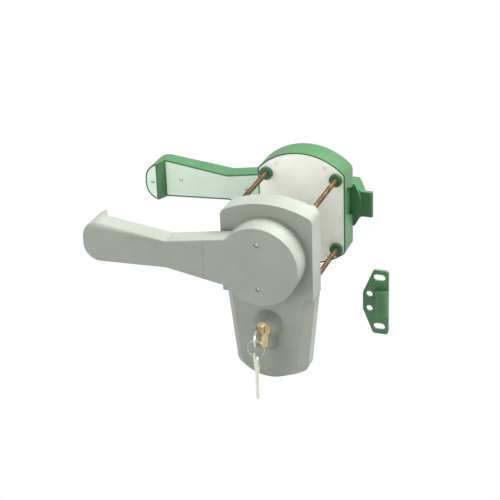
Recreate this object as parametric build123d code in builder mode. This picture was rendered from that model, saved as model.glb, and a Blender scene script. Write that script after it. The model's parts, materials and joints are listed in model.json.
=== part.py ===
from build123d import *
import math
import os

# Swing handle lock for a thick, insulated, hinged door.
# A grey outside half with a key cylinder and a green room-side half clamp the door leaf between them
# on four threaded rods.  Each half carries a long swing lever, the room-side one with the latch tongue.
# Frame, in millimetres: the origin is on the spindle axis at the door's outside face, +X points from the
# levers towards the door frame, +Y goes through the door into the room and +Z is up.

# ---- door and housings ----
door_thickness = 100.0
housing_width = 110.0
housing_wall = 3.5
outside_depth = 30.0
inside_depth = 35.0
corner_radius = 8.0
inside_edge_radius = 2.5

block_shoulder = 50.0           # height at which the outside block's arch springs from its sides
block_arch_top = 64.0
block_bottom = -50.5

skirt_top_half = 54.0           # half width of the lower body where it leaves the block
skirt_bottom_half = 43.5
skirt_corner = -148.0           # height at which the lower body's sides meet its rounded bottom
skirt_bottom = -162.5
skirt_corner_radius = 12.0
skirt_bevel_width = 9.6         # the bevel on the lower body's front edges, across the face
skirt_bevel_depth = 12.0        # and along the depth
skirt_bevel_bottom = 4.5        # how far the bevel lifts the front face's lowest point
front_corner_radius = 7.0

inside_shoulder = 52.5
inside_top = 76.5
inside_foot = -49.0
inside_bottom = -69.3

back_plate_thickness = 2.0
seat_plate_thickness = 3.0
seat_plate_rim = 1.7            # green rim left round the white plate
plate_gap = 0.15

# ---- clamping rods ----
rod_spacing_x = 88.0
rod_spacing_z = 91.0
rod_centre_z = 1.0
rod_radius = 3.0
rod_socket_depth = 20.0         # how far the rods screw into the outside half
rod_hole_gap = 0.25
collar_radius = 8.0
collar_height = 4.0
nut_pocket_radius = 7.0
nut_pocket_depth = 9.0
nut_flats = 10.0
nut_height = 5.0
washer_radius = 6.2
washer_thickness = 1.2
rod_chamfer = 0.6
rod_end_gap = 1.5               # the rods stop this far inside the room-side face

# ---- hubs and levers, the same on both sides ----
hub_ring_radius = 49.0
hub_ring_height = 3.0
hub_ring_width = 9.0
hub_gap = 0.3
hub_radius = 48.0
hub_face = 32.3                 # lever face above the housing
hub_cover_thickness = 3.5
hub_edge_radius = 0.8
hub_core_radius = 18.0
hub_cavity_radius = 44.0
hub_cavity_depth = 20.0
hub_cover_end = 65.0            # the hub cover's straight edge, measured along the arm
hub_screw_offset = 27.5
arm_back = 7.0                  # clear gap between the arm and the plane of the housing's face
tip_return = 15.0               # the tip block stands this far out of the arm towards the door
root_x = 36.0
root_top = 30.5
root_bottom = -28.5
bend_x = 111.5
bend_top = 19.0
bend_bottom = -14.5
tip_x = 196.0
tip_top = 31.0
tip_bottom = -19.0
tip_reach = 217.5
tip_corner_radius = 21.0
junction_radius = 9.0           # blend between hub and arm
bend_edge_radius = 0.8
tip_edge_radius = 6.0
tip_wall_x = 195.5              # foot of the tip block's wall on the arm, and its top edge
tip_wall_end_x = 201.0
arm_wall = 4.0
arm_floor = 5.0
cover_inset = 1.8
cover_thickness = 1.6
cover_start_x = 50.5
cover_gap = 0.15
arm_screw_places = [(-175.0, 6.2), (-87.3, 3.0)]
tip_screw_place = (-207.5, 6.0)
neck_radius = 14.0
neck_length = 12.8
running_gap = 0.05
bush_wall = 3.0
bush_length = 10.0
bush_boss_wall = 3.5
bush_flange_radius = 20.0
bush_flange = 1.5
clip_thickness = 1.2
clip_groove_depth = 1.5
clip_radius = 16.5
clip_gap = 0.1
clip_mouth = 9.0
swing_angle = 40.0

# ---- spindle and the one-way drive between the levers ----
spindle_side = 10.0
spindle_fit = 0.1
spindle_end_gap = 0.5
spindle_socket = 25.0           # how far the spindle reaches into the outside lever
pilot_radius = 4.5
pilot_length = 16.0
dog_radius = 18.0
dog_inner_radius = 9.0
dog_base = 5.0
dog_tooth_height = 5.5
dog_tooth_angle = 36.0
dog_gap = 0.3
dog_play_angle = 0.6
spigot_radius = 8.0
spigot_length = 3.6

# ---- latch on the room-side lever ----
stub_half_height = 27.6
stub_shoulder_x = 56.0
stub_reach = 64.3
stub_depth = 24.0
stub_gap = 1.0
tongue_half_height = 16.3
tongue_reach = 77.5
tongue_setback = 5.0
tongue_thickness = 5.8
tongue_blend = 6.0
tongue_nose_radius = 2.4
side_pocket_depth = 4.0          # pocket in the housing's side, sloping down towards the room
pocket_start = 8.0
pocket_bottom = -2.0
pocket_height = 36.0
pocket_drop = 11.0

# ---- locking parts ----
disc_radius = 42.0
disc_thickness = 6.0
disc_hub_radius = 13.0
disc_hub_step = 0.7
notch_floor_radius = 31.0
notch_gap = 0.5
disc_gap = 0.5
stop_radius = 25.0              # pitch radius of the stop pin
stop_pin_radius = 3.0
stop_gap = 0.4
stop_pin_over = 2.5
bolt_width = 12.0
bolt_thickness = 7.0
bolt_tip_rest = -47.5
bolt_bridge_top = -62.0
bolt_bridge_height = 12.0
bolt_bar_width = 8.0
bolt_bar_x = -16.0              # inner side of the bar that carries the fork
bolt_finger = 6.0
fork_gap = 0.75
fork_clear = 2.0                # the fingers stay this far off the cylinder's round head
guide_wall = 3.2
guide_gap = 0.3
guide_top = -46.0
guide_bottom = -73.5
guide_over = 1.0

# ---- key cylinder: half cylinder of the European profile ----
cylinder_z = -86.0
cylinder_radius = 8.5
cylinder_leg_width = 10.0
cylinder_height = 33.0
cylinder_length = 45.0
cylinder_rear_gap = 2.5         # the cylinder's inner end stops this far short of the door face
cylinder_gap = 0.3
boss_root_radius = 17.2
boss_face_radius = 10.4
boss_root_leg = 10.5            # half widths of the boss's lower leg
boss_face_leg = 7.0
boss_root_bottom = -121.0
boss_face_bottom = -113.0
boss_lip = 0.8                  # the boss stands this much further out than the cylinder
plug_radius = 6.5
plug_proud = 0.3
cam_width = 10.0
cam_radius = 8.3
cam_nose_radius = 15.0
cam_nose_width = 7.7
cam_slot_radius = 15.6
cam_gap = 0.2
key_turn = 90.0
cam_rest_angle = 180.0 + key_turn / 2
tail_radius = 3.0
fixing_screw_z = -106.0
fixing_screw_radius = 2.45
fixing_head_radius = 4.2
fixing_head_height = 3.0
fixing_lug_length = 9.0
fixing_lug_height = 9.0
fixing_gap = 0.1

# ---- keys ----
key_bow_radius = 12.0
key_thickness = 2.0
key_hole_radius = 2.6
key_hole_offset = 7.6
key_neck = 7.5                  # clear length between the bow and the cylinder's face
key_length = 35.0               # from the bow's edge to the point
blade_height = 8.0
blade_gap = 0.3
blade_end_gap = 0.6
shoulder_height = 10.0
shoulder_gap = 0.5
point_chamfer = 2.5
ring_radius = 10.3
ring_wire = 0.65
ring_hang = 0.8                 # how far each key hole's centre and the wire in it are apart
spare_key_turn = 32.0

# ---- keeper, for the door frame ----
keeper_x = 94.2
keeper_z = -108.0
keeper_width = 32.0
keeper_height = 86.0
keeper_thickness = 4.0
keeper_flat = 23.0              # length of its short side
keeper_slope = 13.0             # how far its slanted sides reach across
keeper_corner = 4.0
keeper_slot_length = 15.0
keeper_slot_width = 9.0
keeper_slot_x = 4.5
keeper_slot_spacing = 66.6
keeper_hole_radius = 4.25
keeper_hole_x = -8.0
keeper_hole_spacing = 19.5
ridge_length = 35.0
ridge_radius = 8.5

# ---- small screws ----
pillar_radius = 3.5
small_screw_radius = 1.4
small_screw_length = 8.0
small_head_radius = 2.4
small_head_height = 1.3
screw_end_gap = 0.5
plate_screw_places = [(-48.5, 8.0), (48.5, 8.0), (-33.0, -128.0), (33.0, -128.0)]
seat_screw_places = [(-30.0, 60.0), (30.0, 60.0), (-30.0, -54.0), (30.0, -54.0)]

# ---- places worked out from the sizes above ----
TO_ROOM = (0, 1, 0)
TO_OUTSIDE = (0, -1, 0)
half_width = housing_width / 2
outside_face = -outside_depth
inside_seat = door_thickness
inside_face = door_thickness + inside_depth
cylinder_end = -cylinder_rear_gap
cylinder_face = cylinder_end - cylinder_length
boss_face = cylinder_face - boss_lip
cam_mid = cylinder_end - cam_width
rod_places = [
    (x * rod_spacing_x / 2, rod_centre_z + z * rod_spacing_z / 2) for x in (-1, 1) for z in (-1, 1)
]
outside_neck_end = outside_face + neck_length
inside_neck_end = inside_face - neck_length
driven_start = inside_neck_end - dog_base
drive_end = driven_start - dog_gap
disc_start = outside_neck_end + disc_hub_step
disc_end = disc_start + disc_thickness
bolt_start = disc_start + disc_gap
bolt_end = bolt_start + bolt_thickness
nose_centre = cam_nose_radius - cam_nose_width / 2
fork_z = cylinder_z - nose_centre * math.sin(math.radians(key_turn / 2))
plug_end = cam_mid - cam_width / 2 - cam_gap
key_bow_edge = cylinder_face - key_neck
key_end = key_bow_edge + key_length
key_hole_y = key_bow_edge - key_bow_radius - key_hole_offset
ring_top = cylinder_z - ring_hang
ring_z = ring_top - ring_radius
spare_hole_z = ring_z - ring_radius - ring_hang
hub_screw_places = [(0, hub_screw_offset), (0, -hub_screw_offset)]


def across(y):
    """A plane parallel to the door at depth y, with local x along +X and local y up."""
    return Plane.XZ.offset(-y)


def inset(face, distance):
    """The outline drawn in all round by a distance, or grown where it is negative."""
    return offset(face, amount=-distance, mode=Mode.PRIVATE)


def arched_outline(half, foot, bottom, shoulder, top, radius):
    """Upright sides joined by a shallow arch above and, where bottom is lower than foot, one below."""
    with BuildSketch() as face:
        with BuildLine():
            Line((-half, shoulder), (-half, foot))
            if bottom < foot:
                ThreePointArc((-half, foot), (0, bottom), (half, foot))
            else:
                Line((-half, foot), (half, foot))
            Line((half, foot), (half, shoulder))
            ThreePointArc((half, shoulder), (0, top), (-half, shoulder))
        make_face()
        rounded = face.vertices() if bottom < foot else face.vertices().group_by(Axis.Y)[-1]
        fillet(rounded, radius)
    return face.sketch


def skirt_outline(top_half, bottom_half, corner, bottom, radius):
    """The lower body: sides that draw in downwards and a rounded bottom."""
    with BuildSketch() as face:
        with BuildLine():
            Line((-top_half, block_bottom), (-bottom_half, corner))
            ThreePointArc((-bottom_half, corner), (0, bottom), (bottom_half, corner))
            Line((bottom_half, corner), (top_half, block_bottom))
            Line((top_half, block_bottom), (-top_half, block_bottom))
        make_face()
        fillet(face.vertices().group_by(Axis.Y)[0], radius)
    return face.sketch


def keyhole_outline(radius, leg_half, bottom):
    """A round head on a narrower leg with a rounded end, as a key cylinder's profile."""
    with BuildSketch() as face:
        with Locations((0, cylinder_z)):
            Circle(radius)
        with Locations((0, (cylinder_z + bottom + leg_half) / 2)):
            Rectangle(2 * leg_half, cylinder_z - bottom - leg_half)
        with Locations((0, bottom + leg_half)):
            Circle(leg_half)
    return face.sketch


def arm_limits(x):
    """Lower and upper edge of the arm at a distance from the spindle."""
    if x < bend_x:
        share = (x - root_x) / (bend_x - root_x)
        return root_bottom + (bend_bottom - root_bottom) * share, root_top + (bend_top - root_top) * share
    share = (x - bend_x) / (tip_x - bend_x)
    return bend_bottom + (tip_bottom - bend_bottom) * share, bend_top + (tip_top - bend_top) * share


def arm_points(margin, start, end):
    """Corners of the arm's outline between two distances from the spindle, drawn in by a margin."""
    stops = [start, bend_x, end] if start < bend_x < end else [start, end]
    above = [(-x, arm_limits(x)[1] - margin) for x in stops]
    below = [(-x, arm_limits(x)[0] + margin) for x in reversed(stops)]
    return above + below


def tip_outline():
    """The D-shaped end of the arm, square to the arm where it leaves it."""
    with BuildSketch() as face:
        with Locations((-(tip_x + tip_reach) / 2, (tip_top + tip_bottom) / 2)):
            Rectangle(tip_reach - tip_x, tip_top - tip_bottom)
        fillet(face.vertices().group_by(Axis.X)[0], tip_corner_radius)
    return face.sketch


def hub_outline(reach):
    """The hub disc with the start of the arm, blended where they meet."""
    with BuildSketch() as face:
        Circle(hub_radius)
        with BuildLine():
            Polyline(*arm_points(0, root_x, reach), close=True)
        make_face()
        notches = face.vertices().filter_by(lambda v: abs(v.X**2 + v.Y**2 - hub_radius**2) < 1)
        fillet(notches, junction_radius)
    return face.sketch


def stub_outline():
    """The short arm opposite the lever that carries the latch tongue."""
    with BuildSketch() as face:
        with BuildLine():
            Line((0, stub_half_height), (stub_shoulder_x, stub_half_height))
            ThreePointArc(
                (stub_shoulder_x, stub_half_height), (stub_reach, 0), (stub_shoulder_x, -stub_half_height)
            )
            Line((stub_shoulder_x, -stub_half_height), (0, -stub_half_height))
            Line((0, -stub_half_height), (0, stub_half_height))
        make_face()
    return face.sketch


def sector(inner, outer, start, span):
    """A ring segment, angles in degrees anticlockwise from +X as seen from outside."""
    with BuildSketch() as face:
        with BuildLine():
            for radius in (inner, outer):
                CenterArc((0, 0), radius, start, span)
            for angle in (start, start + span):
                PolarLine((inner * math.cos(math.radians(angle)), inner * math.sin(math.radians(angle))),
                          outer - inner, angle)
        make_face()
    return face.sketch


block_face = arched_outline(
    half_width, block_bottom, block_bottom, block_shoulder, block_arch_top, corner_radius
)
skirt_back = skirt_outline(
    skirt_top_half, skirt_bottom_half, skirt_corner, skirt_bottom, skirt_corner_radius
)
skirt_front = skirt_outline(
    skirt_top_half - skirt_bevel_width,
    skirt_bottom_half - skirt_bevel_width,
    skirt_corner + skirt_bevel_bottom,
    skirt_bottom + skirt_bevel_bottom,
    front_corner_radius,
)
inside_outline = arched_outline(
    half_width, inside_foot, inside_bottom, inside_shoulder, inside_top, corner_radius
)
cylinder_bottom = cylinder_z + cylinder_radius - cylinder_height
cylinder_profile = keyhole_outline(cylinder_radius, cylinder_leg_width / 2, cylinder_bottom)
cylinder_opening = inset(cylinder_profile, -cylinder_gap)
hub_face_outline = hub_outline(hub_cover_end)
hub_root_outline = hub_outline(hub_cover_end + cover_gap)
tip_face = tip_outline()
stub_face = stub_outline()
with BuildSketch() as tip_end_sketch:
    add(tip_face)
    with Locations((-tip_wall_end_x + tip_reach / 2, (tip_top + tip_bottom) / 2)):
        Rectangle(tip_reach, tip_reach, mode=Mode.SUBTRACT)
tip_end_face = tip_end_sketch.sketch


def pocket_corners(margin, end):
    """Corners, across depth and height, of the side pocket or of the pad behind it."""
    start = inside_seat + pocket_start - margin
    low = pocket_bottom - margin
    high = pocket_bottom + pocket_height + margin
    return [(start, low), (start, high), (end, high - pocket_drop), (end, low - pocket_drop)]


def save(piece, name):
    piece.label = name
    export_step(piece, f"parts/{name}.step")


os.makedirs("parts", exist_ok=True)

# ================= outside half: housing =================
with BuildPart() as outside_housing:
    # The arched block and the bevelled lower body are one moulding.
    with BuildSketch(across(outside_face)):
        add(block_face)
    extrude(amount=outside_depth, dir=TO_ROOM)
    with BuildSketch(across(outside_face)):
        add(skirt_front)
    with BuildSketch(across(outside_face + skirt_bevel_depth)):
        add(skirt_back)
    loft(ruled=True)
    with BuildSketch(across(outside_face + skirt_bevel_depth)):
        add(skirt_back)
    extrude(amount=outside_depth - skirt_bevel_depth, dir=TO_ROOM)
    # The cavity behind the front wall, open towards the door.
    with BuildSketch(across(outside_face + housing_wall)):
        add(inset(block_face, housing_wall))
        with Locations((0, block_bottom)):
            Rectangle(2 * (skirt_top_half - skirt_bevel_width - housing_wall), 4 * housing_wall)
    extrude(amount=outside_depth, dir=TO_ROOM, mode=Mode.SUBTRACT)
    with BuildSketch(across(outside_face + housing_wall)):
        add(inset(skirt_front, housing_wall))
    with BuildSketch(across(outside_face + housing_wall + skirt_bevel_depth)):
        add(inset(skirt_back, housing_wall))
    loft(ruled=True, mode=Mode.SUBTRACT)
    with BuildSketch(across(outside_face + housing_wall + skirt_bevel_depth)):
        add(inset(skirt_back, housing_wall))
    extrude(amount=outside_depth, dir=TO_ROOM, mode=Mode.SUBTRACT)
    # The drafted keyhole boss round the cylinder, and the sleeve that carries it inside.
    with BuildSketch(across(outside_face)):
        add(keyhole_outline(boss_root_radius, boss_root_leg, boss_root_bottom))
    with BuildSketch(across(boss_face)):
        add(keyhole_outline(boss_face_radius, boss_face_leg, boss_face_bottom))
    loft(ruled=True)
    with BuildSketch(across(outside_face + housing_wall / 2)):
        add(inset(cylinder_profile, -housing_wall))
    extrude(amount=cam_mid - cam_width / 2 - 1 - outside_face - housing_wall / 2, dir=TO_ROOM)
    with BuildSketch(across(boss_face)):
        add(cylinder_opening)
    extrude(amount=outside_depth + boss_lip + cylinder_length, dir=TO_ROOM, mode=Mode.SUBTRACT)
    # Sockets for the rods.
    with BuildSketch(across(outside_face + housing_wall / 2)):
        with Locations(*rod_places):
            Circle(collar_radius)
    extrude(amount=outside_depth - housing_wall / 2, dir=TO_ROOM)
    with BuildSketch(across(-rod_socket_depth)):
        with Locations(*rod_places):
            Circle(rod_radius)
    extrude(amount=rod_socket_depth, dir=TO_ROOM, mode=Mode.SUBTRACT)
    # Pillars for the back plate's screws, and the boss that holds the lever's bush.
    with BuildSketch(across(outside_face + housing_wall / 2)):
        with Locations(*plate_screw_places):
            Circle(pillar_radius)
    extrude(amount=outside_depth - back_plate_thickness - housing_wall / 2, dir=TO_ROOM)
    with BuildSketch(across(-back_plate_thickness - small_screw_length)):
        with Locations(*plate_screw_places):
            Circle(small_screw_radius)
    extrude(amount=small_screw_length, dir=TO_ROOM, mode=Mode.SUBTRACT)
    with BuildSketch(across(outside_face)):
        Circle(neck_radius + running_gap + bush_wall + bush_boss_wall)
    extrude(amount=bush_length, dir=TO_ROOM)
    with BuildSketch(across(outside_face)):
        Circle(neck_radius + running_gap + bush_wall)
    extrude(amount=bush_length, dir=TO_ROOM, mode=Mode.SUBTRACT)
    # The lug that takes the cylinder's fixing screw.
    lug_start = cylinder_leg_width / 2 + cylinder_gap
    with BuildSketch(Plane.YZ.offset(lug_start)):
        with Locations((cam_mid, fixing_screw_z)):
            Rectangle(cam_width, fixing_lug_height)
        with Locations(((outside_face + housing_wall / 2 + cam_mid) / 2, fixing_screw_z)):
            Rectangle(cam_mid - outside_face - housing_wall / 2, fixing_lug_height)
    extrude(amount=fixing_lug_length)
    with BuildSketch(Plane.YZ.offset(lug_start)):
        with Locations((cam_mid, fixing_screw_z)):
            Circle(fixing_screw_radius + fixing_gap)
    extrude(amount=fixing_lug_length, mode=Mode.SUBTRACT)
save(outside_housing.part, "outside_housing")

with BuildPart() as outside_back_plate:
    with BuildSketch(across(-back_plate_thickness)) as plate_face:
        add(inset(block_face, housing_wall + plate_gap))
        add(inset(skirt_back, housing_wall + plate_gap))
        with Locations((0, block_bottom)):
            Rectangle(2 * (skirt_bottom_half - housing_wall), 4 * housing_wall)
        with Locations(*rod_places):
            Circle(collar_radius + plate_gap, mode=Mode.SUBTRACT)
        with Locations(*plate_screw_places):
            Circle(small_screw_radius + plate_gap, mode=Mode.SUBTRACT)
        Circle(spindle_side, mode=Mode.SUBTRACT)
    extrude(amount=back_plate_thickness, dir=TO_ROOM)
    with BuildSketch(across(-small_head_height)):
        with Locations(*plate_screw_places):
            Circle(small_head_radius + plate_gap)
    extrude(amount=small_head_height, dir=TO_ROOM, mode=Mode.SUBTRACT)
save(outside_back_plate.part, "outside_back_plate")

# Rings on the rods at the foot of both halves: they seat in the door leaf.
for start, name in ((0, "outside_rod_collars"), (inside_seat - collar_height, "inside_rod_collars")):
    with BuildPart() as rod_collars:
        with BuildSketch(across(start)):
            with Locations(*rod_places):
                Circle(collar_radius)
                Circle(rod_radius + rod_hole_gap, mode=Mode.SUBTRACT)
        extrude(amount=collar_height, dir=TO_ROOM)
    save(rod_collars.part, name)

# ================= room side: housing =================
with BuildPart() as inside_housing:
    with BuildSketch(across(inside_seat)):
        add(inside_outline)
    extrude(amount=inside_depth, dir=TO_ROOM)
    room_edges = inside_housing.faces().sort_by(Axis.Y)[-1].edges()
    fillet(room_edges, inside_edge_radius)
    # Rebate for the white plate, and the cavity behind it.
    with BuildSketch(across(inside_seat)):
        add(inset(inside_outline, seat_plate_rim))
    extrude(amount=seat_plate_thickness, dir=TO_ROOM, mode=Mode.SUBTRACT)
    with BuildSketch(across(inside_seat)):
        add(inset(inside_outline, housing_wall))
    extrude(amount=inside_depth - housing_wall, dir=TO_ROOM, mode=Mode.SUBTRACT)
    # Tubes for the rods, which end in nut pockets on the room side.
    with BuildSketch(across(inside_seat)):
        with Locations(*rod_places):
            Circle(collar_radius)
    extrude(amount=inside_depth - housing_wall / 2, dir=TO_ROOM)
    with BuildSketch(across(inside_seat)):
        with Locations(*rod_places):
            Circle(rod_radius + rod_hole_gap)
    extrude(amount=inside_depth, dir=TO_ROOM, mode=Mode.SUBTRACT)
    with BuildSketch(across(inside_face - nut_pocket_depth)):
        with Locations(*rod_places):
            Circle(nut_pocket_radius)
    extrude(amount=nut_pocket_depth, dir=TO_ROOM, mode=Mode.SUBTRACT)
    # Pillars for the white plate's screws, and the boss that holds the lever's bush.
    with BuildSketch(across(inside_seat + seat_plate_thickness)):
        with Locations(*seat_screw_places):
            Circle(pillar_radius)
    extrude(amount=inside_depth - seat_plate_thickness - housing_wall / 2, dir=TO_ROOM)
    with BuildSketch(across(inside_seat + seat_plate_thickness)):
        with Locations(*seat_screw_places):
            Circle(small_screw_radius)
    extrude(amount=small_screw_length, dir=TO_ROOM, mode=Mode.SUBTRACT)
    with BuildSketch(across(inside_face - bush_length)):
        Circle(neck_radius + running_gap + bush_wall + bush_boss_wall)
    extrude(amount=bush_length, dir=TO_ROOM)
    with BuildSketch(across(inside_face - bush_length)):
        Circle(neck_radius + running_gap + bush_wall)
    extrude(amount=bush_length, dir=TO_ROOM, mode=Mode.SUBTRACT)
    # The pocket in the side next to the door frame, which clears the keeper, with its own wall behind.
    with BuildSketch(Plane.YZ.offset(half_width - side_pocket_depth - housing_wall)):
        with BuildLine():
            Polyline(*pocket_corners(housing_wall, inside_face), close=True)
        make_face()
    extrude(amount=housing_wall + side_pocket_depth / 2)
    with BuildSketch(Plane.YZ.offset(half_width - side_pocket_depth)):
        with BuildLine():
            Polyline(*pocket_corners(0, inside_face + side_pocket_depth), close=True)
        make_face()
    extrude(amount=side_pocket_depth, mode=Mode.SUBTRACT)
save(inside_housing.part, "inside_housing")

with BuildPart() as seat_plate:
    with BuildSketch(across(inside_seat)):
        add(inset(inside_outline, seat_plate_rim + plate_gap))
        with Locations(*rod_places):
            Circle(collar_radius + plate_gap, mode=Mode.SUBTRACT)
        with Locations(*seat_screw_places):
            Circle(small_screw_radius + plate_gap, mode=Mode.SUBTRACT)
        Circle(spindle_side, mode=Mode.SUBTRACT)
    extrude(amount=seat_plate_thickness, dir=TO_ROOM)
    with BuildSketch(across(inside_seat)):
        with Locations(*seat_screw_places):
            Circle(small_head_radius + plate_gap)
    extrude(amount=small_head_height, dir=TO_ROOM, mode=Mode.SUBTRACT)
save(seat_plate.part, "seat_plate")

# ================= rods, nuts and washers =================
rod_end = inside_face - rod_end_gap
nut_seat = inside_face - nut_pocket_depth

with BuildPart() as threaded_rods:
    with BuildSketch(across(-rod_socket_depth)):
        with Locations(*rod_places):
            Circle(rod_radius)
    extrude(amount=rod_socket_depth + rod_end, dir=TO_ROOM)
    chamfer(threaded_rods.edges().group_by(Axis.Y)[-1], rod_chamfer)
save(threaded_rods.part, "threaded_rods")

with BuildPart() as rod_washers:
    with BuildSketch(across(nut_seat)):
        with Locations(*rod_places):
            Circle(washer_radius)
            Circle(rod_radius + rod_hole_gap, mode=Mode.SUBTRACT)
    extrude(amount=washer_thickness, dir=TO_ROOM)
save(rod_washers.part, "rod_washers")

with BuildPart() as rod_nuts:
    with BuildSketch(across(nut_seat + washer_thickness)):
        with Locations(*rod_places):
            RegularPolygon(nut_flats / 2, 6, major_radius=False)
            Circle(rod_radius, mode=Mode.SUBTRACT)
    extrude(amount=nut_height, dir=TO_ROOM)
save(rod_nuts.part, "rod_nuts")


# ================= screws, rings, bushes and covers =================
def small_screws(places, seat_y, heads_point, length):
    """Small screws with their heads on a plane at depth seat_y."""
    with BuildPart() as screws:
        with BuildSketch(across(seat_y)):
            with Locations(*places):
                Circle(small_head_radius)
        extrude(amount=small_head_height, dir=heads_point)
        with BuildSketch(across(seat_y)):
            with Locations(*places):
                Circle(small_screw_radius)
        extrude(amount=length, dir=(0, -heads_point[1], 0))
    return screws.part


plate_screw_shank = back_plate_thickness - small_head_height + small_screw_length - screw_end_gap
save(small_screws(plate_screw_places, -small_head_height, TO_ROOM, plate_screw_shank), "back_plate_screws")
seat_screw_shank = seat_plate_thickness - small_head_height + small_screw_length - screw_end_gap
save(
    small_screws(seat_screw_places, inside_seat + small_head_height, TO_OUTSIDE, seat_screw_shank),
    "seat_plate_screws",
)


def hub_ring(face_y, outward):
    """The flat ring on the housing round the foot of a hub."""
    with BuildPart() as ring:
        with BuildSketch(across(face_y)):
            Circle(hub_ring_radius)
            Circle(hub_ring_radius - hub_ring_width, mode=Mode.SUBTRACT)
        extrude(amount=hub_ring_height, dir=outward)
    return ring.part


def flanged_bush(face_y, outward):
    """The bearing sleeve pressed into a housing, with a flange on the housing's face."""
    with BuildPart() as bush:
        with BuildSketch(across(face_y)):
            Circle(neck_radius + running_gap + bush_wall)
        extrude(amount=bush_length, dir=(0, -outward[1], 0))
        with BuildSketch(across(face_y)):
            Circle(bush_flange_radius)
        extrude(amount=bush_flange, dir=outward)
        with BuildSketch(across(face_y + outward[1] * bush_flange)):
            Circle(neck_radius + running_gap)
        extrude(amount=bush_flange + bush_length, dir=(0, -outward[1], 0), mode=Mode.SUBTRACT)
    return bush.part


def neck_clip(face_y, outward):
    """The open ring that keeps a lever's neck in its bush."""
    with BuildPart() as clip:
        with BuildSketch(across(face_y - outward[1] * (bush_length + clip_gap))):
            Circle(clip_radius)
            Circle(neck_radius - clip_groove_depth, mode=Mode.SUBTRACT)
            with Locations((0, -clip_radius)):
                Rectangle(clip_mouth, clip_radius, mode=Mode.SUBTRACT)
        extrude(amount=clip_thickness, dir=(0, -outward[1], 0))
    return clip.part


def hub_cover(face_y, outward):
    """The flush cover on a hub, with a straight edge across the arm."""
    inward = (0, -outward[1], 0)
    top = face_y + outward[1] * hub_face
    with BuildPart() as cover:
        with BuildSketch(across(top)):
            add(hub_face_outline)
        extrude(amount=hub_cover_thickness, dir=inward)
        outer_face = cover.faces().sort_by(Axis.Y)[0 if outward == TO_OUTSIDE else -1]
        rim = outer_face.edges().filter_by(lambda edge: edge.center().X > -hub_cover_end + cover_gap)
        fillet(rim, hub_edge_radius)
        with BuildSketch(across(top)):
            with Locations(*hub_screw_places):
                Circle(small_screw_radius + plate_gap)
        extrude(amount=hub_cover_thickness, dir=inward, mode=Mode.SUBTRACT)
        with BuildSketch(across(top)):
            with Locations(*hub_screw_places):
                Circle(small_head_radius + plate_gap)
        extrude(amount=small_head_height + screw_end_gap, dir=inward, mode=Mode.SUBTRACT)
    return cover.part


def arm_cover(face_y, outward):
    """The long plate that closes the arm on the side towards the door."""
    with BuildPart() as cover:
        with BuildSketch(across(face_y + outward[1] * arm_back)):
            with BuildLine():
                Polyline(
                    *arm_points(cover_inset + plate_gap, cover_start_x + plate_gap, tip_wall_x - plate_gap),
                    close=True,
                )
            make_face()
            with Locations(*arm_screw_places):
                Circle(small_screw_radius + plate_gap, mode=Mode.SUBTRACT)
        extrude(amount=cover_thickness, dir=outward)
    return cover.part


def tip_cover(face_y, outward):
    """The D-shaped plate on the end of the tip block."""
    with BuildPart() as cover:
        with BuildSketch(across(face_y + outward[1] * (arm_back - tip_return))):
            add(inset(tip_end_face, cover_inset + plate_gap))
            with Locations(tip_screw_place):
                Circle(small_screw_radius + plate_gap, mode=Mode.SUBTRACT)
        extrude(amount=cover_thickness, dir=outward)
    return cover.part


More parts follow.
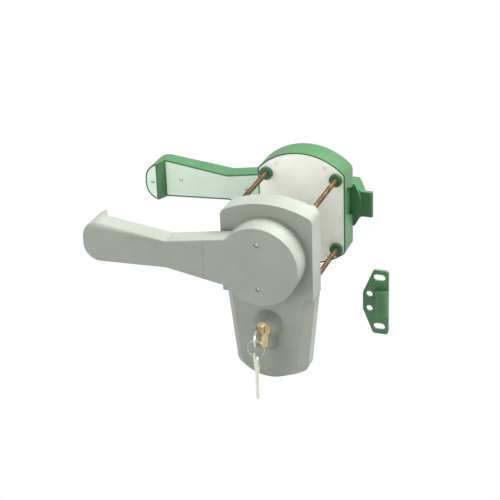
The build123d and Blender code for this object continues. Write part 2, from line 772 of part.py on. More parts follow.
# ================= swing levers =================
def swing_lever(face_y, outward, with_latch):
    """A hollow lever on a round hub.  The room-side one also carries the latch tongue."""
    side = outward[1]
    inward = (0, -side, 0)
    hub_start = face_y + side * (hub_ring_height + hub_gap)
    top = face_y + side * hub_face
    under_cover = top - side * hub_cover_thickness
    arm_start = face_y + side * arm_back
    arm_depth = hub_face - arm_back
    tip_end = arm_start - side * tip_return
    neck_end = face_y - side * neck_length

    # Sections of the arm, in pairs: distance from the spindle and rounding of the two outer edges.
    stretches = (
        ((hub_cover_end + cover_gap, bend_edge_radius), (bend_x, bend_edge_radius)),
        ((bend_x, bend_edge_radius), (tip_x, tip_edge_radius)),
    )

    with BuildPart() as tip:
        # The D-shaped end block, rounded outside, comes back towards the door as a finger stop.
        with BuildSketch(across(tip_end)):
            add(tip_face)
        extrude(amount=arm_depth + tip_return, dir=outward)
        outer_face = tip.faces().sort_by(Axis.Y)[0 if outward == TO_OUTSIDE else -1]
        fillet(outer_face.edges().filter_by(lambda edge: edge.center().X < -tip_x), tip_edge_radius)
        with BuildSketch(Plane.XY.offset(tip_bottom)):
            with BuildLine():
                Polyline(
                    (-tip_wall_x, arm_start),
                    (-tip_wall_end_x, tip_end),
                    (-root_x, tip_end),
                    (-root_x, arm_start),
                    close=True,
                )
            make_face()
        extrude(amount=tip_top - tip_bottom, mode=Mode.SUBTRACT)

    with BuildPart() as stub:
        # The short arm opposite the grip, hollowed round the hub ring, with the latch tongue on its end.
        with BuildSketch(across(face_y + side * stub_gap)):
            add(stub_face)
            Circle(hub_ring_radius + hub_gap, mode=Mode.SUBTRACT)
        extrude(amount=stub_depth, dir=outward)
        with BuildSketch(across(hub_start)):
            add(stub_face)
        extrude(amount=stub_depth + stub_gap - hub_ring_height - hub_gap, dir=outward)
        with BuildSketch(across(face_y + side * (stub_gap + tongue_setback))) as tongue:
            add(stub_face)
            with Locations(((stub_shoulder_x + tongue_reach) / 2, 0)):
                Rectangle(tongue_reach - stub_shoulder_x, 2 * tongue_half_height)
            notches = tongue.vertices().filter_by(lambda v: stub_shoulder_x + 1 < v.X < stub_reach)
            fillet(notches, tongue_blend)
        extrude(amount=tongue_thickness, dir=outward)
        fillet(stub.edges().filter_by(Axis.Z).sort_by(Axis.X)[-2:], tongue_nose_radius)

    with BuildPart() as lever:
        with BuildSketch(across(hub_start)):
            Circle(hub_radius)
        extrude(amount=hub_face - hub_cover_thickness - hub_ring_height - hub_gap, dir=outward)
        with BuildSketch(across(arm_start)):
            add(hub_root_outline)
        extrude(amount=arm_depth - hub_cover_thickness, dir=outward)
        # The arm and the grip: the rounding of the edges grows from the bend to the tip.
        for stretch in stretches:
            for x, radius in stretch:
                low, high = arm_limits(x)
                with BuildSketch(Plane.YZ.offset(-x)) as section:
                    with BuildLine():
                        Polyline((arm_start, low), (top, low), (top, high), (arm_start, high), close=True)
                    make_face()
                    outer_corners = section.vertices().group_by(Axis.X)[0 if outward == TO_OUTSIDE else -1]
                    fillet(outer_corners, radius)
            loft(ruled=True)
        add(tip.part)
        if with_latch:
            add(stub.part)
        # The hub is hollow towards the door, round a core that carries the neck.
        with BuildSketch(across(hub_start)):
            Circle(hub_cavity_radius)
            Circle(hub_core_radius, mode=Mode.SUBTRACT)
            with Locations(*hub_screw_places):
                Circle(pillar_radius, mode=Mode.SUBTRACT)
        extrude(amount=hub_cavity_depth, dir=outward, mode=Mode.SUBTRACT)
        # The arm is hollow behind its cover, and so is the tip.
        with BuildSketch(across(arm_start)):
            with BuildLine():
                Polyline(*arm_points(cover_inset, cover_start_x, tip_wall_x), close=True)
            make_face()
        extrude(amount=cover_thickness, dir=outward, mode=Mode.SUBTRACT)
        with BuildSketch(across(arm_start)):
            with BuildLine():
                Polyline(*arm_points(arm_wall, cover_start_x + arm_wall, tip_wall_x - arm_wall), close=True)
            make_face()
            with Locations(*arm_screw_places):
                Circle(pillar_radius, mode=Mode.SUBTRACT)
        extrude(amount=arm_depth - arm_floor, dir=outward, mode=Mode.SUBTRACT)
        with BuildSketch(across(tip_end)):
            add(inset(tip_end_face, cover_inset))
        extrude(amount=cover_thickness, dir=outward, mode=Mode.SUBTRACT)
        with BuildSketch(across(tip_end)):
            add(inset(tip_end_face, arm_wall))
            with Locations(tip_screw_place):
                Circle(pillar_radius, mode=Mode.SUBTRACT)
        extrude(amount=arm_depth + tip_return - arm_floor - tip_edge_radius, dir=outward, mode=Mode.SUBTRACT)
        # Screw holes.
        with BuildSketch(across(arm_start)):
            with Locations(*arm_screw_places):
                Circle(small_screw_radius)
        extrude(amount=small_screw_length, dir=outward, mode=Mode.SUBTRACT)
        with BuildSketch(across(tip_end)):
            with Locations(tip_screw_place):
                Circle(small_screw_radius)
        extrude(amount=small_screw_length, dir=outward, mode=Mode.SUBTRACT)
        with BuildSketch(across(under_cover)):
            with Locations(*hub_screw_places):
                Circle(small_screw_radius)
        extrude(amount=small_screw_length, dir=inward, mode=Mode.SUBTRACT)
        # The neck that turns in the bush, with a groove for its clip.
        with BuildSketch(across(hub_start)):
            Circle(neck_radius)
        extrude(amount=neck_length + hub_ring_height + hub_gap, dir=inward)
        with BuildSketch(across(face_y - side * (bush_length + clip_gap))):
            Circle(neck_radius + clip_groove_depth)
            Circle(neck_radius - clip_groove_depth, mode=Mode.SUBTRACT)
        extrude(amount=clip_thickness, dir=inward, mode=Mode.SUBTRACT)
        if with_latch:
            # A spigot for the driven dog, and the bore in which the spindle's round end turns.
            with BuildSketch(across(neck_end)):
                Circle(spigot_radius)
            extrude(amount=spigot_length, dir=inward)
            with BuildSketch(across(neck_end - side * spigot_length)):
                Circle(pilot_radius + running_gap)
            extrude(
                amount=drive_end + pilot_length + spindle_end_gap - neck_end + spigot_length,
                dir=outward,
                mode=Mode.SUBTRACT,
            )
        else:
            with BuildSketch(across(neck_end)):
                Rectangle(spindle_side + spindle_fit, spindle_side + spindle_fit)
            extrude(amount=spindle_socket, dir=outward, mode=Mode.SUBTRACT)
    return lever.part


for half, face_y, outward in (("outside", outside_face, TO_OUTSIDE), ("inside", inside_face, TO_ROOM)):
    side = outward[1]
    arm_start = face_y + side * arm_back
    hub_screw_seat = face_y + side * (hub_face - small_head_height - screw_end_gap)
    hub_screw_shank = hub_cover_thickness - small_head_height + small_screw_length - 3 * screw_end_gap
    save(hub_ring(face_y, outward), f"{half}_hub_ring")
    save(flanged_bush(face_y, outward), f"{half}_bush")
    save(neck_clip(face_y, outward), f"{half}_clip")
    save(swing_lever(face_y, outward, half == "inside"), f"{half}_lever")
    save(hub_cover(face_y, outward), f"{half}_hub_cover")
    save(small_screws(hub_screw_places, hub_screw_seat, outward, hub_screw_shank), f"{half}_hub_screws")
    save(arm_cover(face_y, outward), f"{half}_arm_plate")
    save(tip_cover(face_y, outward), f"{half}_tip_plate")
    with BuildPart() as cover_screws:
        add(small_screws(arm_screw_places, arm_start, (0, -side, 0), small_screw_length - screw_end_gap))
        add(
            small_screws(
                [tip_screw_place],
                arm_start - side * tip_return,
                (0, -side, 0),
                small_screw_length - screw_end_gap,
            )
        )
    save(cover_screws.part, f"{half}_arm_screws")

# ================= spindle and one-way drive =================
with BuildPart() as square_spindle:
    spindle_start = outside_neck_end - spindle_socket + spindle_end_gap
    with BuildSketch(across(spindle_start)):
        Rectangle(spindle_side, spindle_side)
    extrude(amount=drive_end - spindle_start, dir=TO_ROOM)
    chamfer(square_spindle.edges().group_by(Axis.Y)[0], spindle_end_gap)
    with BuildSketch(across(drive_end)):
        Circle(pilot_radius)
    extrude(amount=pilot_length, dir=TO_ROOM)
save(square_spindle.part, "square_spindle")

with BuildPart() as drive_dog:
    # Two teeth that push the driven dog when the arm is lifted and leave it free the other way.
    with BuildSketch(across(drive_end - dog_tooth_height - dog_base)):
        Circle(dog_radius)
        Rectangle(spindle_side + spindle_fit, spindle_side + spindle_fit, mode=Mode.SUBTRACT)
    extrude(amount=dog_base, dir=TO_ROOM)
    with BuildSketch(across(drive_end - dog_tooth_height)):
        for start in (0, 180):
            add(sector(dog_inner_radius, dog_radius, start, dog_tooth_angle))
    extrude(amount=dog_tooth_height, dir=TO_ROOM)
save(drive_dog.part, "drive_dog")

with BuildPart() as driven_dog:
    with BuildSketch(across(driven_start)):
        Circle(dog_radius)
        Circle(spigot_radius + running_gap, mode=Mode.SUBTRACT)
    extrude(amount=dog_base, dir=TO_ROOM)
    with BuildSketch(across(driven_start - dog_tooth_height)):
        for end in (0, 180):
            add(sector(dog_inner_radius, dog_radius, end - dog_play_angle - dog_tooth_angle, dog_tooth_angle))
    extrude(amount=dog_tooth_height, dir=TO_ROOM)
save(driven_dog.part, "driven_dog")

# ================= locking parts =================
stop_slot = SlotArc(CenterArc((0, 0), stop_radius, 90, swing_angle), 2 * (stop_pin_radius + stop_gap))

with BuildPart() as locking_disc:
    with BuildSketch(across(outside_neck_end)):
        Circle(disc_hub_radius)
    extrude(amount=disc_hub_step, dir=TO_ROOM)
    with BuildSketch(across(disc_start)):
        Circle(disc_radius)
        # Three notches: at rest, and with the lever lifted to either hand.
        for angle in (-90 - swing_angle, -90, -90 + swing_angle):
            with PolarLocations(disc_radius, 1, start_angle=angle):
                Rectangle(2 * (disc_radius - notch_floor_radius), bolt_width + 2 * notch_gap, mode=Mode.SUBTRACT)
        add(stop_slot, mode=Mode.SUBTRACT)
    extrude(amount=disc_thickness, dir=TO_ROOM)
    with BuildSketch(across(outside_neck_end)):
        Rectangle(spindle_side + spindle_fit, spindle_side + spindle_fit)
    extrude(amount=disc_hub_step + disc_thickness, dir=TO_ROOM, mode=Mode.SUBTRACT)
save(locking_disc.part, "locking_disc")

with BuildPart() as stop_pin:
    with BuildSketch(across(outside_face + housing_wall)):
        with Locations((0, stop_radius)):
            Circle(stop_pin_radius)
    extrude(amount=disc_end + stop_pin_over - outside_face - housing_wall, dir=TO_ROOM)
save(stop_pin.part, "stop_pin")

bar_left = bolt_bar_x - bolt_bar_width
bridge_bottom = bolt_bridge_top - bolt_bridge_height
fork_half = cam_nose_width / 2 + fork_gap
finger_end = -cylinder_radius - fork_clear

with BuildPart() as lock_bolt:
    # A tip that rises into the disc, a bridge over the cylinder and a fork for the cam's nose beside it.
    with BuildSketch(across(bolt_start)):
        with Locations((0, (bolt_bridge_top + bolt_tip_rest) / 2)):
            Rectangle(bolt_width, bolt_tip_rest - bolt_bridge_top)
        with Locations(((bar_left + bolt_width / 2) / 2, bolt_bridge_top - bolt_bridge_height / 2)):
            Rectangle(bolt_width / 2 - bar_left, bolt_bridge_height)
        bar_bottom = fork_z - fork_half - bolt_finger
        with Locations(((bar_left + bolt_bar_x) / 2, (bridge_bottom + bar_bottom) / 2)):
            Rectangle(bolt_bar_width, bridge_bottom - bar_bottom)
        for step in (-1, 1):
            with Locations(((bolt_bar_x + finger_end) / 2, fork_z + step * (fork_half + bolt_finger / 2))):
                Rectangle(finger_end - bolt_bar_x, bolt_finger)
    extrude(amount=bolt_thickness, dir=TO_ROOM)
    chamfer(lock_bolt.edges().filter_by(Axis.Y).group_by(Axis.Z)[-1], 2 * notch_gap)
save(lock_bolt.part, "lock_bolt")

with BuildPart() as bolt_guide:
    guide_base = outside_face + housing_wall
    with BuildSketch(across(guide_base)):
        with Locations(((bar_left + bolt_width / 2) / 2, (guide_top + guide_bottom) / 2)):
            Rectangle(
                bolt_width / 2 - bar_left + 2 * (guide_gap + guide_wall), guide_top - guide_bottom
            )
    extrude(amount=bolt_end + guide_over - guide_base, dir=TO_ROOM)
    with BuildSketch(across(bolt_start - guide_gap)):
        with Locations(((bar_left + bolt_width / 2) / 2, (guide_top + guide_bottom) / 2)):
            Rectangle(bolt_width / 2 - bar_left + 2 * guide_gap, guide_top - guide_bottom)
    extrude(amount=bolt_thickness + guide_over + guide_gap, dir=TO_ROOM, mode=Mode.SUBTRACT)
save(bolt_guide.part, "bolt_guide")

# ================= key cylinder and keys =================
with BuildPart() as cylinder_body:
    with BuildSketch(across(cylinder_face)):
        add(cylinder_profile)
        with Locations((0, cylinder_z)):
            Circle(plug_radius + running_gap, mode=Mode.SUBTRACT)
    extrude(amount=cylinder_length, dir=TO_ROOM)
    with BuildSketch(across(plug_end)):
        with Locations((0, cylinder_z)):
            Circle(cam_slot_radius)
    extrude(amount=cam_width + 2 * cam_gap, dir=TO_ROOM, mode=Mode.SUBTRACT)
    with BuildSketch(Plane.YZ.offset(-cylinder_leg_width)):
        with Locations((cam_mid, fixing_screw_z)):
            Circle(fixing_screw_radius)
    extrude(amount=2 * cylinder_leg_width, mode=Mode.SUBTRACT)
save(cylinder_body.part, "cylinder_body")

with BuildPart() as cylinder_plug:
    with BuildSketch(across(cylinder_face - plug_proud)):
        with Locations((0, cylinder_z)):
            Circle(plug_radius)
    extrude(amount=plug_end - cylinder_face + plug_proud, dir=TO_ROOM)
    with BuildSketch(across(plug_end)):
        with Locations((0, cylinder_z)):
            Circle(tail_radius)
    extrude(amount=cam_gap + cam_width, dir=TO_ROOM)
    with BuildSketch(across(cylinder_face - plug_proud)):
        with Locations((0, cylinder_z)):
            Rectangle(key_thickness + 2 * blade_gap, blade_height + 2 * blade_gap)
    extrude(
        amount=key_end + blade_end_gap - cylinder_face + plug_proud, dir=TO_ROOM, mode=Mode.SUBTRACT
    )
save(cylinder_plug.part, "cylinder_plug")

with BuildPart() as cylinder_cam:
    with BuildSketch(across(cam_mid - cam_width / 2)):
        with Locations((0, cylinder_z)):
            Circle(cam_radius)
        with Locations(Location((0, cylinder_z), cam_rest_angle)):
            with Locations((nose_centre / 2, 0)):
                Rectangle(nose_centre, cam_nose_width)
            with Locations((nose_centre, 0)):
                Circle(cam_nose_width / 2)
        with Locations((0, cylinder_z)):
            Circle(tail_radius, mode=Mode.SUBTRACT)
    extrude(amount=cam_width, dir=TO_ROOM)
save(cylinder_cam.part, "cylinder_cam")

with BuildPart() as cylinder_screw:
    lug_end = lug_start + fixing_lug_length
    with BuildSketch(Plane.YZ.offset(lug_end)):
        with Locations((cam_mid, fixing_screw_z)):
            Circle(fixing_screw_radius)
    extrude(amount=-lug_end - cylinder_leg_width / 2 + screw_end_gap)
    with BuildSketch(Plane.YZ.offset(lug_end)):
        with Locations((cam_mid, fixing_screw_z)):
            Circle(fixing_head_radius)
    extrude(amount=fixing_head_height)
save(cylinder_screw.part, "cylinder_screw")


def cut_key(hole_plane):
    """A flat key with a round bow: its hole is at the plane's origin and its point along the plane's x."""
    bow_edge = key_hole_offset + key_bow_radius
    with BuildPart() as key:
        with BuildSketch(hole_plane) as outline:
            with Locations((bow_edge + key_length / 2, 0)):
                Rectangle(key_length, blade_height)
            chamfer(outline.vertices().group_by(Axis.X)[-1], point_chamfer)
            with Locations((bow_edge, 0)):
                Rectangle(2 * (key_neck - shoulder_gap), shoulder_height)
            with Locations((key_hole_offset, 0)):
                Circle(key_bow_radius)
            Circle(key_hole_radius, mode=Mode.SUBTRACT)
        extrude(amount=key_thickness / 2, both=True)
    return key.part


turn = math.radians(spare_key_turn)
save(cut_key(Plane((0, key_hole_y, cylinder_z), x_dir=(0, 1, 0), z_dir=(1, 0, 0))), "key")
save(
    cut_key(
        Plane((0, key_hole_y, spare_hole_z), x_dir=(0, 0, -1), z_dir=(math.cos(turn), math.sin(turn), 0))
    ),
    "spare_key",
)

with BuildPart() as key_ring:
    with BuildSketch(Plane.XY.offset(ring_z)):
        with Locations((ring_radius, key_hole_y)):
            Circle(ring_wire)
    revolve(axis=Axis((0, key_hole_y, ring_z), (0, 1, 0)))
save(key_ring.part, "key_ring")

# ================= keeper =================
with BuildPart() as keeper:
    half_short = keeper_flat / 2
    half_tall = keeper_height / 2
    half_wide = keeper_width / 2
    keeper_plane = Plane((keeper_x, inside_seat, keeper_z), x_dir=(1, 0, 0), z_dir=TO_OUTSIDE)
    with BuildSketch(keeper_plane) as plate:
        with BuildLine():
            Polyline(
                (-half_wide, -half_short),
                (-half_wide + keeper_slope, -half_tall),
                (half_wide, -half_tall),
                (half_wide, half_tall),
                (-half_wide + keeper_slope, half_tall),
                (-half_wide, half_short),
                close=True,
            )
        make_face()
        fillet(plate.vertices(), keeper_corner)
        with Locations((keeper_slot_x, keeper_slot_spacing / 2), (keeper_slot_x, -keeper_slot_spacing / 2)):
            SlotOverall(keeper_slot_length, keeper_slot_width, mode=Mode.SUBTRACT)
        with Locations((keeper_hole_x, keeper_hole_spacing / 2), (keeper_hole_x, -keeper_hole_spacing / 2)):
            Circle(keeper_hole_radius, mode=Mode.SUBTRACT)
    extrude(amount=keeper_thickness)
    # The half-round ridge that the latch tongue draws up on.
    with BuildSketch(Plane.XY.offset(keeper_z - ridge_length / 2)):
        with Locations((keeper_x + half_wide - ridge_radius, inside_seat - keeper_thickness)):
            Circle(ridge_radius)
            with Locations((0, ridge_radius)):
                Rectangle(2 * ridge_radius, 2 * ridge_radius, mode=Mode.SUBTRACT)
    extrude(amount=ridge_length)
save(keeper.part, "keeper")
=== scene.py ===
import json
import math

import bmesh
import bpy
from mathutils import Matrix, Vector


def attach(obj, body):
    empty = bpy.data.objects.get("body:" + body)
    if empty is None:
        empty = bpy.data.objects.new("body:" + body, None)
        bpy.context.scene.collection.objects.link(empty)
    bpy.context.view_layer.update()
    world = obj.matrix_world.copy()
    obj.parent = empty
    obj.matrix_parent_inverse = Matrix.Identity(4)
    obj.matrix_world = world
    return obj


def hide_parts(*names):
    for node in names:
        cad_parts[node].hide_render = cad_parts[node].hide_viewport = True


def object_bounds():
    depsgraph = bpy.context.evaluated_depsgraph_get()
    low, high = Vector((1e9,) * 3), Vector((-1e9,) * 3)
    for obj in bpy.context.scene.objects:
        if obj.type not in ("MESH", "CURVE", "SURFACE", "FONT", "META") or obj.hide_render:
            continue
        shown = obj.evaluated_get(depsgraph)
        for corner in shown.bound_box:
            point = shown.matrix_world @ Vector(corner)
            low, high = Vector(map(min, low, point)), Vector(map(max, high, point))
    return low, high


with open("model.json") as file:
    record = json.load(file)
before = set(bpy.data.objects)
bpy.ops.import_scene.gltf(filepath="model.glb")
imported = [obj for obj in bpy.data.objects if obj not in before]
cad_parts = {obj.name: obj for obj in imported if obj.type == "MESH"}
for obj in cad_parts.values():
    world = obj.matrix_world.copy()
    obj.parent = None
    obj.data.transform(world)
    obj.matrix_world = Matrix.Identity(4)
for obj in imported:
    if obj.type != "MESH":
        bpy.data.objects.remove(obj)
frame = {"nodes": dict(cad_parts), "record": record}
cad_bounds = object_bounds()
scene = bpy.context.scene
MM = 0.001

# Swing handle lock: a grey outside half and a green room-side half, each with a swing lever.


# ---------------- materials ----------------
def linear(hex_colour):
    """An sRGB hex colour as linear red, green, blue and alpha."""
    parts = [int(hex_colour[i:i + 2], 16) / 255 for i in (1, 3, 5)]
    return [c / 12.92 if c <= 0.04045 else ((c + 0.055) / 1.055) ** 2.4 for c in parts] + [1.0]


def add(tree, kind, settings=None, inputs=None):
    """Adds a node, sets its properties, and gives each input a value or a link from another node's socket."""
    node = tree.nodes.new(kind)
    for key, value in (settings or {}).items():
        setattr(node, key, value)
    for key, value in (inputs or {}).items():
        if isinstance(value, bpy.types.NodeSocket):
            tree.links.new(value, node.inputs[key])
        else:
            node.inputs[key].default_value = value
    return node


def new_material(name):
    material = bpy.data.materials.new(name)
    material.use_nodes = True
    tree = material.node_tree
    shader = tree.nodes["Principled BSDF"]
    where = add(tree, "ShaderNodeTexCoord").outputs["Object"]
    return material, tree, shader, where


def noise_node(tree, where, size_mm, detail):
    """Noise whose features are about size_mm across."""
    return add(tree, "ShaderNodeTexNoise", inputs={"Vector": where, "Scale": 1 / (size_mm * MM), "Detail": detail})


def mottled(tree, where, light, dark, patch_mm):
    """Two close shades of one colour in soft patches of a real size."""
    noise = noise_node(tree, where, patch_mm, 3.0)
    ramp = add(tree, "ShaderNodeValToRGB", inputs={"Fac": noise.outputs["Fac"]})
    ramp.color_ramp.elements[0].position = 0.35
    ramp.color_ramp.elements[0].color = linear(dark)
    ramp.color_ramp.elements[1].position = 0.65
    ramp.color_ramp.elements[1].color = linear(light)
    return ramp.outputs["Color"]


def ranged(tree, where, low, high, patch_mm):
    """A value that wanders between low and high in patches of a real size."""
    noise = noise_node(tree, where, patch_mm, 4.0)
    limits = {"From Min": 0.3, "From Max": 0.7, "To Min": low, "To Max": high}
    spread = add(tree, "ShaderNodeMapRange", inputs={"Value": noise.outputs["Fac"], **limits})
    return spread.outputs["Result"]


def raised(tree, height, depth_mm, strength, edge_mm):
    """Fine relief over edges that are softened by a small radius."""
    edge = add(tree, "ShaderNodeBevel", {"samples": 4}, {"Radius": edge_mm * MM})
    relief = {"Strength": strength, "Distance": depth_mm * MM, "Height": height}
    bump = add(tree, "ShaderNodeBump", inputs={**relief, "Normal": edge.outputs["Normal"]})
    return bump.outputs["Normal"]


def grain(tree, where, size_mm, depth_mm, strength, edge_mm):
    """An even grain, the same in every direction."""
    noise = noise_node(tree, where, size_mm, 2.0)
    return raised(tree, noise.outputs["Fac"], depth_mm, strength, edge_mm)


def moulded_polyamide(name, light, dark, roughness):
    """Glass-filled polyamide from a spark-eroded mould: an even satin with a fine grain and soft edges."""
    material, tree, shader, where = new_material(name)
    tree.links.new(mottled(tree, where, light, dark, 45), shader.inputs["Base Color"])
    tree.links.new(ranged(tree, where, roughness - 0.05, roughness + 0.05, 20), shader.inputs["Roughness"])
    tree.links.new(grain(tree, where, 0.9, 0.05, 0.35, 0.7), shader.inputs["Normal"])
    shader.inputs["IOR"].default_value = 1.53
    return material


def smooth_plastic(name, light, dark, roughness, patch_mm):
    """Plain moulded or die-cut plastic, a little cloudy in tone, with crisp edges."""
    material, tree, shader, where = new_material(name)
    tree.links.new(mottled(tree, where, light, dark, patch_mm), shader.inputs["Base Color"])
    tree.links.new(ranged(tree, where, roughness - 0.06, roughness + 0.06, 15), shader.inputs["Roughness"])
    tree.links.new(grain(tree, where, 1.5, 0.03, 0.25, 0.3), shader.inputs["Normal"])
    shader.inputs["IOR"].default_value = 1.49
    return material


def worked_metal(name, light, dark, roughness, scratch_mm, stretch):
    """Metal with fine marks of a real width, drawn out along the axes that stretch makes small."""
    material, tree, shader, where = new_material(name)
    stretched = add(tree, "ShaderNodeMapping", inputs={"Vector": where, "Scale": stretch})
    lines = noise_node(tree, stretched.outputs["Vector"], scratch_mm, 3.0)
    tree.links.new(mottled(tree, where, light, dark, 12), shader.inputs["Base Color"])
    tree.links.new(ranged(tree, where, roughness - 0.07, roughness + 0.07, 6), shader.inputs["Roughness"])
    tree.links.new(raised(tree, lines.outputs["Fac"], 0.02, 0.3, 0.25), shader.inputs["Normal"])
    shader.inputs["Metallic"].default_value = 1.0
    return material


ALONG_Y = (1.0, 0.05, 1.0)
ACROSS_Y = (0.05, 1.0, 0.05)
EVEN = (1.0, 1.0, 1.0)

# Satin grey and green halves: the eye reads one even, slightly grained plastic with rounded edges.
grey = moulded_polyamide("grey glass-filled polyamide, spark-eroded", "#8B9187", "#858B80", 0.42)
green = moulded_polyamide("green glass-filled polyamide, spark-eroded", "#386A40", "#32613A", 0.40)
# The seat plate is a flat moulding with hardly any gloss.
white_seat = smooth_plastic("white polyethylene, moulded", "#F0F0E8", "#E6E8DC", 0.55, 30)
# Luminous plates are milky and faintly green from the pigment in them.
luminous = smooth_plastic("mint luminous acrylic, moulded", "#CFE1D1", "#C9DDCB", 0.45, 20)
# Acetal: smooth and slightly waxy white.
acetal = smooth_plastic("natural acetal, turned", "#F0EFE8", "#E6E5DC", 0.35, 10)
# Copper-flashed rods: warm brown, dull in the roots of the thread and brighter on its crests.
copper_flash = worked_metal("copper-flashed steel rod, rolled thread", "#8F7152", "#6C5440", 0.42, 0.5, EVEN)
# Plated steel: cool and bright, with lines along its length.
zinc = worked_metal("zinc-plated steel, drawn", "#C4C7C9", "#A9ADB0", 0.32, 0.4, ALONG_Y)
# The seat plate's screws are lacquered white, so they hardly show on it.
white_lacquer = smooth_plastic("white lacquer on zinc-plated steel", "#EFEFE7", "#E7E8DE", 0.5, 3)
# Die-cast zinc: duller and coarser than the plated steel.
cast_zinc = worked_metal("die-cast zinc", "#9FA2A4", "#8B8E90", 0.5, 0.8, EVEN)
# The cylinder is matt nickel over brass, so it looks warm, and its turned plug catches small rings of light.
satin_brass = worked_metal("satin nickel-plated brass, milled", "#DCCBA0", "#C9B588", 0.34, 0.3, ACROSS_Y)
# Nickel silver: pale and slightly warm, with the highest polish on the part.
nickel_silver = worked_metal("nickel silver, stamped", "#E6E3D4", "#D3CFBD", 0.26, 0.5, EVEN)
# The keeper is powder coated: soft gloss with a faint orange peel.
coated = moulded_polyamide("green powder coat on cast metal", "#3C7045", "#34643D", 0.36)

FINISH = {
    "grey_polyamide": grey,
    "green_polyamide": green,
    "white_plastic": white_seat,
    "mint_luminous_plastic": luminous,
    "acetal": acetal,
    "copper_finished_steel": copper_flash,
    "zinc_plated_steel": zinc,
    "die_cast_zinc": cast_zinc,
    "brass": satin_brass,
    "nickel_silver": nickel_silver,
    "green_coated_metal": coated,
}
SLOT_OF = {part["node"]: part["material_slot"] for part in frame["record"]["subparts"]}
for name, piece in frame["nodes"].items():
    piece.data.materials.clear()
    piece.data.materials.append(FINISH[SLOT_OF[name]])


# ---------------- pieces ----------------
def finish_piece(mesh, name, body, slot, node):
    """Turns a bmesh into a named piece that rides on a body and stands for a CAD node."""
    bmesh.ops.remove_doubles(mesh, verts=mesh.verts, dist=0.002 * MM)
    bmesh.ops.recalc_face_normals(mesh, faces=mesh.faces)
    data = bpy.data.meshes.new(name)
    mesh.to_mesh(data)
    mesh.free()
    data.materials.append(FINISH[slot])
    piece = bpy.data.objects.new(name, data)
    scene.collection.objects.link(piece)
    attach(piece, body)
    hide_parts(node)
    return piece


def turned(mesh, profile, centre, direction):
    """Adds a shape turned from (radius, height) pairs in millimetres about an axis through centre."""
    along = Vector(direction).normalized()
    out = along.orthogonal().normalized()
    verts = [mesh.verts.new(centre + out * r * MM + along * h * MM) for r, h in profile]
    edges = [mesh.edges.new(pair) for pair in zip(verts, verts[1:])]
    bmesh.ops.spin(
        mesh, geom=verts + edges, cent=centre, axis=along, angle=2 * math.pi, steps=HEAD_STEPS, use_merge=True,
    )


def rod_thread(mesh, centre, start, end, radius, pitch):
    """A helical thread along Y between start and end, with a plain stub of a core at each end."""
    turns = int((end - start) / pitch) - 2
    crest, root = radius, radius - THREAD_DEPTH * pitch
    core = root + CORE_MARGIN
    first = start + pitch / 2
    profile = [(crest if i % 2 == 0 else root, first + i * pitch / 2) for i in range(2 * turns + 1)]
    verts = [mesh.verts.new((centre.x + r, y, centre.z)) for r, y in profile]
    edges = [mesh.edges.new(pair) for pair in zip(verts, verts[1:])]
    # One full turn that climbs by one pitch, so each crest runs on into the next one.
    bmesh.ops.spin(
        mesh, geom=verts + edges, cent=(centre.x, 0, centre.z), axis=(0, 1, 0), angle=2 * math.pi,
        steps=THREAD_STEPS, dvec=(0, pitch / THREAD_STEPS, 0),
    )
    for low, high in ((start, first + pitch), (end - 2 * pitch, end)):
        middle = Matrix.Translation((centre.x, (low + high) / 2, centre.z))
        bmesh.ops.create_cone(
            mesh, cap_ends=True, segments=THREAD_STEPS, radius1=core, radius2=core, depth=high - low,
            matrix=middle @ Matrix.Rotation(math.pi / 2, 4, "X"),
        )


def islands(node):
    """Lowest and highest corner of each separate solid of a CAD node."""
    mesh = bmesh.new()
    mesh.from_mesh(frame["nodes"][node].data)
    bmesh.ops.remove_doubles(mesh, verts=mesh.verts, dist=0.001 * MM)
    seen, found = set(), []
    for vert in mesh.verts:
        if vert in seen:
            continue
        group, queue = [], [vert]
        seen.add(vert)
        while queue:
            at = queue.pop()
            group.append(at.co.copy())
            for edge in at.link_edges:
                other = edge.other_vert(at)
                if other not in seen:
                    seen.add(other)
                    queue.append(other)
        low = Vector([min(p[i] for p in group) for i in range(3)])
        high = Vector([max(p[i] for p in group) for i in range(3)])
        found.append((low, high))
    mesh.free()
    return found


# Rods with a rolled M6 thread of 1 mm pitch.
THREAD_PITCH = 1.0 * MM
THREAD_DEPTH = 0.61             # share of the pitch
THREAD_STEPS = 20
CORE_MARGIN = 0.1 * MM          # the stubs' core stands this much proud of the thread's root
mesh = bmesh.new()
for low, high in islands("threaded_rods"):
    rod_thread(mesh, (low + high) / 2, low.y, high.y, (high.x - low.x) / 2, THREAD_PITCH)
finish_piece(mesh, "threaded_rods_cut", "lock_case", "copper_finished_steel", "threaded_rods")

# Small screws: pan heads with a round driving recess.
HEAD_STEPS = 32
HEAD_HEIGHT, HEAD_RADIUS = 1.3, 2.4
SHANK_RADIUS, SHANK_LENGTH = 1.4, 5
SCREW_PROFILE = [
    (0, HEAD_HEIGHT - 0.9), (0.75, HEAD_HEIGHT - 0.85), (0.95, HEAD_HEIGHT - 0.1), (1.1, HEAD_HEIGHT),
    (1.7, HEAD_HEIGHT - 0.06), (2.15, HEAD_HEIGHT - 0.3), (HEAD_RADIUS, HEAD_HEIGHT - 0.75), (HEAD_RADIUS, 0),
    (SHANK_RADIUS, 0), (SHANK_RADIUS, -SHANK_LENGTH), (0, -SHANK_LENGTH),
]
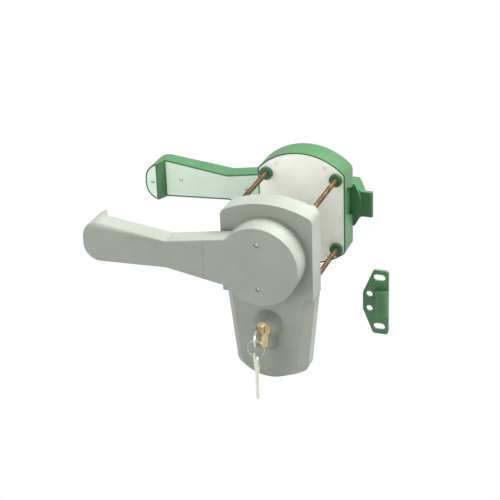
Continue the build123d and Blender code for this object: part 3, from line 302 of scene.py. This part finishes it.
# Each node of small screws, with the body it rides on and the way its heads face.
SCREWS = {
    "outside_hub_screws": ("outside_swing", (0, -1, 0)),
    "outside_arm_screws": ("outside_swing", (0, 1, 0)),
    "inside_hub_screws": ("inside_swing", (0, 1, 0)),
    "inside_arm_screws": ("inside_swing", (0, -1, 0)),
    "back_plate_screws": ("lock_case", (0, 1, 0)),
    "seat_plate_screws": ("lock_case", (0, -1, 0)),
}
for node, (body, way) in SCREWS.items():
    mesh = bmesh.new()
    for low, high in islands(node):
        middle = (low + high) / 2
        face = high.y if way[1] > 0 else low.y
        seat = Vector((middle.x, face - way[1] * HEAD_HEIGHT * MM, middle.z))
        turned(mesh, SCREW_PROFILE, seat, way)
    screws = finish_piece(mesh, node + "_turned", body, "zinc_plated_steel", node)
    if node == "seat_plate_screws":
        screws.data.materials[0] = white_lacquer

# ---------------- floor, light and camera ----------------
FLOOR_GAP = 0.2 * MM
FLOOR_SIZE = 12
bpy.ops.mesh.primitive_plane_add(size=FLOOR_SIZE, location=(0, 0, cad_bounds[0][2] - FLOOR_GAP))
floor = bpy.context.object
floor.name = "floor"
# Plain white where it is seen directly or in a reflection, dull grey in the light it throws on the part.
paper = bpy.data.materials.new("matt white paper sweep")
paper.use_nodes = True
tree = paper.node_tree
tree.nodes.remove(tree.nodes["Principled BSDF"])
rays = add(tree, "ShaderNodeLightPath").outputs
either = {"operation": "MAXIMUM"}
seen = add(tree, "ShaderNodeMath", either, {0: rays["Is Camera Ray"], 1: rays["Is Glossy Ray"]})
shown = add(tree, "ShaderNodeMath", either, {0: seen.outputs[0], 1: rays["Is Transmission Ray"]})
dim = add(tree, "ShaderNodeBsdfDiffuse", inputs={"Color": (0.42, 0.42, 0.42, 1)})
bright = add(tree, "ShaderNodeEmission", inputs={"Color": (1, 1, 1, 1)})
mix = add(tree, "ShaderNodeMixShader", inputs={0: shown.outputs[0], 1: dim.outputs[0], 2: bright.outputs[0]})
tree.links.new(mix.outputs[0], tree.nodes["Material Output"].inputs["Surface"])
floor.data.materials.append(paper)

WORLD_STRENGTH = 0.72
world = bpy.data.worlds.new("studio")
scene.world = world
world.use_nodes = True
world.node_tree.nodes["Background"].inputs["Color"].default_value = (1, 1, 1, 1)
world.node_tree.nodes["Background"].inputs["Strength"].default_value = WORLD_STRENGTH


def softbox(name, place, target, size, power):
    """A square area light at place, turned towards target."""
    light = bpy.data.lights.new(name, "AREA")
    light.shape = "SQUARE"
    light.size = size
    light.energy = power
    lamp = bpy.data.objects.new(name, light)
    scene.collection.objects.link(lamp)
    lamp.location = place
    lamp.rotation_euler = (Vector(target) - Vector(place)).to_track_quat("-Z", "Y").to_euler()


softbox("top_softbox", place=(0.9, 0.7, 1.9), target=(0, 0.05, 0), size=1.4, power=135)
softbox("front_fill", place=(-0.9, -2.2, 0.5), target=(0, 0, 0), size=1.6, power=30)

# A long lens, from the left of the outside face and above it, with a slight roll.
AZIMUTH, ELEVATION, ROLL = math.radians(20.675), math.radians(25.209), math.radians(-2.085)
LOOK_AT = Vector((-0.01978, -0.030, 0.00508))
DISTANCE = 1.71597
LENS, SENSOR = 107.99, 36
flat = math.cos(ELEVATION)
view = Vector((-math.sin(AZIMUTH) * flat, math.cos(AZIMUTH) * flat, -math.sin(ELEVATION)))
level = Vector((math.cos(AZIMUTH), math.sin(AZIMUTH), 0))
upright = level.cross(view)
right = math.cos(ROLL) * level + math.sin(ROLL) * upright
up = -math.sin(ROLL) * level + math.cos(ROLL) * upright
lens = bpy.data.cameras.new("camera")
lens.lens = LENS
lens.sensor_width = SENSOR
camera = bpy.data.objects.new("camera", lens)
scene.collection.objects.link(camera)
turn = Matrix((right, up, -view)).transposed().to_4x4()
camera.matrix_world = Matrix.Translation(LOOK_AT - view * DISTANCE) @ turn
scene.camera = camera
scene.view_settings.view_transform = "Standard"
